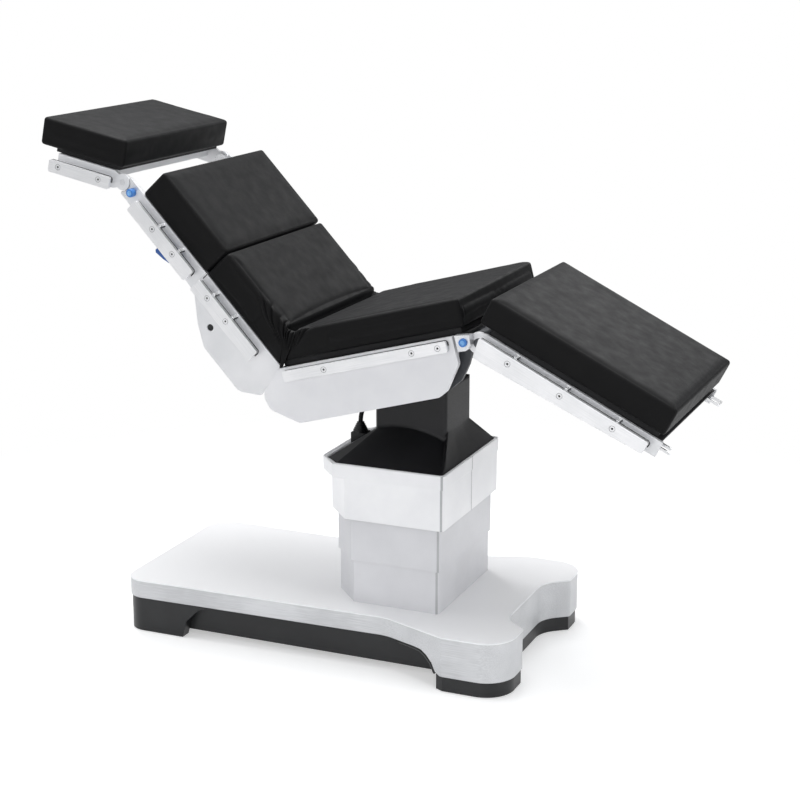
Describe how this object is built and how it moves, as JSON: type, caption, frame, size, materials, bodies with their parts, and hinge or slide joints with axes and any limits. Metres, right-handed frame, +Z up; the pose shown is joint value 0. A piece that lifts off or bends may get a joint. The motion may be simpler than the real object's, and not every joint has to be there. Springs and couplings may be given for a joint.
{
  "type": "operating table",
  "caption": "Electric operating table: wheeled base, telescopic column and tilting sectioned top with raised back and head sections and a lowered leg section.",
  "frame": {"origin": "on the floor, at the middle of the table's length and width", "axes": "+X to the foot end, -Y the side with the back section's release lever, +Z up"},
  "size_m": [1.7089, 0.648, 1.3832],
  "materials": {
    "brushed_stainless_steel": "satin",
    "black_moulded_plastic": "satin",
    "dark_painted_steel": "matte",
    "floor_rubber": "matte",
    "battery_case": "matte",
    "cast_aluminium": "matte",
    "zinc_plated_steel": "satin",
    "caster_polyurethane": "matte",
    "grey_coated_sheet": "satin",
    "white_moulded_plastic": "satin",
    "mast_steel": "satin",
    "chromed_ram": "polished",
    "charcoal_moulded_plastic": "satin",
    "cable_rubber": "matte",
    "cast_iron_cross": "matte",
    "black_laminate": "matte",
    "black_coated_fabric": "satin",
    "satin_aluminium": "satin",
    "blue_plastic": "satin",
    "dark_blue_plastic": "satin"
  },
  "bodies": {
    "base": {"base_cover": "brushed_stainless_steel", "base_skirt": "black_moulded_plastic", "foot_housings": "black_moulded_plastic", "chassis": "dark_painted_steel", "floor_pads": "floor_rubber", "battery_pack": "battery_case", "control_box": "cast_aluminium", "lower_column_cover": "grey_coated_sheet", "mast_base": "mast_steel", "ram_barrel": "chromed_ram"},
    "caster_1": {"caster_fork_1": "zinc_plated_steel"},
    "wheel_1": {"caster_wheel_1": "caster_polyurethane"},
    "caster_2": {"caster_fork_2": "zinc_plated_steel"},
    "wheel_2": {"caster_wheel_2": "caster_polyurethane"},
    "caster_3": {"caster_fork_3": "zinc_plated_steel"},
    "wheel_3": {"caster_wheel_3": "caster_polyurethane"},
    "caster_4": {"caster_fork_4": "zinc_plated_steel"},
    "wheel_4": {"caster_wheel_4": "caster_polyurethane"},
    "column_middle": {"middle_column_cover": "grey_coated_sheet", "mast_middle": "mast_steel", "ram_stage": "chromed_ram"},
    "column_top": {"upper_cover_near": "white_moulded_plastic", "upper_cover_far": "white_moulded_plastic", "mast_top": "mast_steel", "ram_rod": "chromed_ram", "hood": "charcoal_moulded_plastic", "tabletop_cable": "cable_rubber", "cable_fittings": "black_moulded_plastic"},
    "tilt_cross": {"tilt_cross": "cast_iron_cross"},
    "carriage": {"slide_carriage": "cast_aluminium", "slide_motor": "cast_aluminium"},
    "seat_section": {"seat_frame": "dark_painted_steel", "hinge_drives": "dark_painted_steel", "seat_board": "black_laminate", "seat_pad": "black_coated_fabric", "side_cover_near": "white_moulded_plastic", "side_cover_far": "white_moulded_plastic", "seat_rails": "brushed_stainless_steel", "leg_hinge_blocks": "cast_aluminium"},
    "release_button_near": {"release_button_near": "blue_plastic"},
    "release_button_far": {"release_button_far": "blue_plastic"},
    "back_section": {"lower_back_frame": "satin_aluminium", "upper_back_frame": "satin_aluminium", "back_board": "black_laminate", "lower_back_pad": "black_coated_fabric", "upper_back_pad": "black_coated_fabric", "back_rails": "brushed_stainless_steel", "head_sockets": "brushed_stainless_steel"},
    "release_lever": {"release_lever": "dark_blue_plastic"},
    "head_knob_near": {"head_knob_near": "blue_plastic"},
    "head_knob_far": {"head_knob_far": "blue_plastic"},
    "head_section": {"head_frame": "satin_aluminium", "head_board": "black_laminate", "head_pad": "black_coated_fabric", "head_rails": "brushed_stainless_steel"},
    "leg_section": {"leg_frame": "satin_aluminium", "leg_board": "black_laminate", "leg_pad": "black_coated_fabric", "leg_rails": "brushed_stainless_steel", "leg_loops": "chromed_ram"}
  },
  "joints": [
    {"name": "lift_lower", "type": "slide", "parent": "base", "child": "column_middle", "axis": [0, 0, 1], "range_m": [-0.112, 0.013]},
    {"name": "lift_upper", "type": "slide", "parent": "column_middle", "child": "column_top", "axis": [0, 0, 1], "range_m": [-0.112, 0.013]},
    {"name": "trendelenburg", "type": "hinge", "parent": "column_top", "child": "tilt_cross", "pos_m": [0.1055, 0, 0.74], "axis": [0, 1, 0], "range_deg": [-15, 35]},
    {"name": "lateral_tilt", "type": "hinge", "parent": "tilt_cross", "child": "carriage", "pos_m": [0.1055, 0, 0.74], "axis": [0.9659, 0, 0.2588], "range_deg": [-18, 18]},
    {"name": "table_slide", "type": "slide", "parent": "carriage", "child": "seat_section", "axis": [0.9659, 0, 0.2588], "range_m": [-0.1, 0.15]},
    {"name": "back_lift", "type": "hinge", "parent": "seat_section", "child": "back_section", "pos_m": [-0.18013, 0, 0.74732], "axis": [0, -1, 0], "range_deg": [-7.7, 82]},
    {"name": "head_tilt", "type": "hinge", "parent": "back_section", "child": "head_section", "pos_m": [-0.61638, 0, 1.22514], "axis": [0, 1, 0], "range_deg": [-20, 65]},
    {"name": "leg_tilt", "type": "hinge", "parent": "seat_section", "child": "leg_section", "pos_m": [0.35886, 0, 0.89175], "axis": [0, -1, 0], "range_deg": [-49, 41.5]},
    {"name": "release_button_near_push", "type": "slide", "parent": "seat_section", "child": "release_button_near", "axis": [0, 1, 0], "range_m": [0, 0.004], "stiffness_N_per_m": 800},
    {"name": "release_button_far_push", "type": "slide", "parent": "seat_section", "child": "release_button_far", "axis": [0, -1, 0], "range_m": [0, 0.004], "stiffness_N_per_m": 800},
    {"name": "release_lever_pull", "type": "hinge", "parent": "back_section", "child": "release_lever", "pos_m": [-0.45837, -0.272, 1.03212], "axis": [0, -1, 0], "range_deg": [0, 25], "stiffness_Nm_per_rad": 0.6},
    {"name": "head_knob_near_turn", "type": "hinge", "parent": "back_section", "child": "head_knob_near", "pos_m": [-0.58691, -0.276, 1.20063], "axis": [0, -1, 0], "range_deg": [-90, 90]},
    {"name": "head_knob_far_turn", "type": "hinge", "parent": "back_section", "child": "head_knob_far", "pos_m": [-0.58691, 0.276, 1.20063], "axis": [0, 1, 0], "range_deg": [-90, 90]},
    {"name": "caster_1_swivel", "type": "hinge", "parent": "base", "child": "caster_1", "pos_m": [-0.59, -0.2, 0.1], "axis": [0, 0, 1], "continuous": true},
    {"name": "wheel_1_roll", "type": "hinge", "parent": "caster_1", "child": "wheel_1", "pos_m": [-0.608, -0.2, 0.048], "axis": [0, 1, 0], "continuous": true},
    {"name": "caster_2_swivel", "type": "hinge", "parent": "base", "child": "caster_2", "pos_m": [-0.59, 0.2, 0.1], "axis": [0, 0, 1], "continuous": true},
    {"name": "wheel_2_roll", "type": "hinge", "parent": "caster_2", "child": "wheel_2", "pos_m": [-0.608, 0.2, 0.048], "axis": [0, 1, 0], "continuous": true},
    {"name": "caster_3_swivel", "type": "hinge", "parent": "base", "child": "caster_3", "pos_m": [0.385, -0.25, 0.1], "axis": [0, 0, 1], "continuous": true},
    {"name": "wheel_3_roll", "type": "hinge", "parent": "caster_3", "child": "wheel_3", "pos_m": [0.367, -0.25, 0.048], "axis": [0, 1, 0], "continuous": true},
    {"name": "caster_4_swivel", "type": "hinge", "parent": "base", "child": "caster_4", "pos_m": [0.385, 0.25, 0.1], "axis": [0, 0, 1], "continuous": true},
    {"name": "wheel_4_roll", "type": "hinge", "parent": "caster_4", "child": "wheel_4", "pos_m": [0.367, 0.25, 0.048], "axis": [0, 1, 0], "continuous": true}
  ],
  "couplings": [
    {"joint": "lift_upper", "follows": "lift_lower", "ratio": 1}
  ]
}
